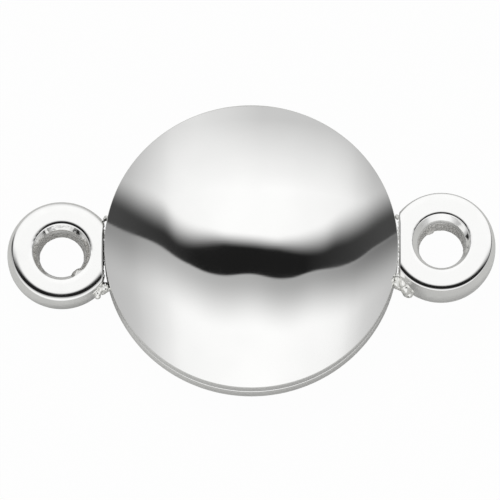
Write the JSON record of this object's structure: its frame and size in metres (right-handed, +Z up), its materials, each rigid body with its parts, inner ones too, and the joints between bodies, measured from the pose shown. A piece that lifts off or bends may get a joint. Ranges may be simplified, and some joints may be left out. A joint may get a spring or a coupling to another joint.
{
  "type": "magnetic jewelry clasp",
  "caption": "Round domed silver clasp for a necklace or bracelet: two hollow halves held by disc magnets, each with a soldered ring loop for a jump ring.",
  "frame": {"origin": "on the axis of the round body, midway between the two halves", "axes": "+Z up through the upper dome along the pull-apart direction, +X towards the loop of the upper half"},
  "size_m": [0.02, 0.012, 0.0052],
  "materials": {
    "silver": "polished sterling silver",
    "silver_solder": "lumpy silver solder, tumble polished",
    "magnet_plating": "bright nickel plating"
  },
  "bodies": {
    "lower_half": {"lower_cap": "silver", "lower_closing_plate": "silver", "lower_magnet": "magnet_plating", "lower_loop": "silver", "lower_loop_solder": "silver_solder"},
    "plug": {"upper_magnet": "magnet_plating"},
    "upper_half": {"upper_cap": "silver", "upper_closing_plate": "silver", "upper_loop": "silver", "upper_loop_solder": "silver_solder"}
  },
  "joints": [
    {"name": "pull_apart", "type": "slide", "parent": "lower_half", "child": "plug", "axis": [0, 0, 1], "range_m": [0, 0.01]},
    {"name": "swivel", "type": "hinge", "parent": "plug", "child": "upper_half", "pos_m": [0, 0, 0], "axis": [0, 0, 1], "range_deg": [-140, 140]}
  ]
}
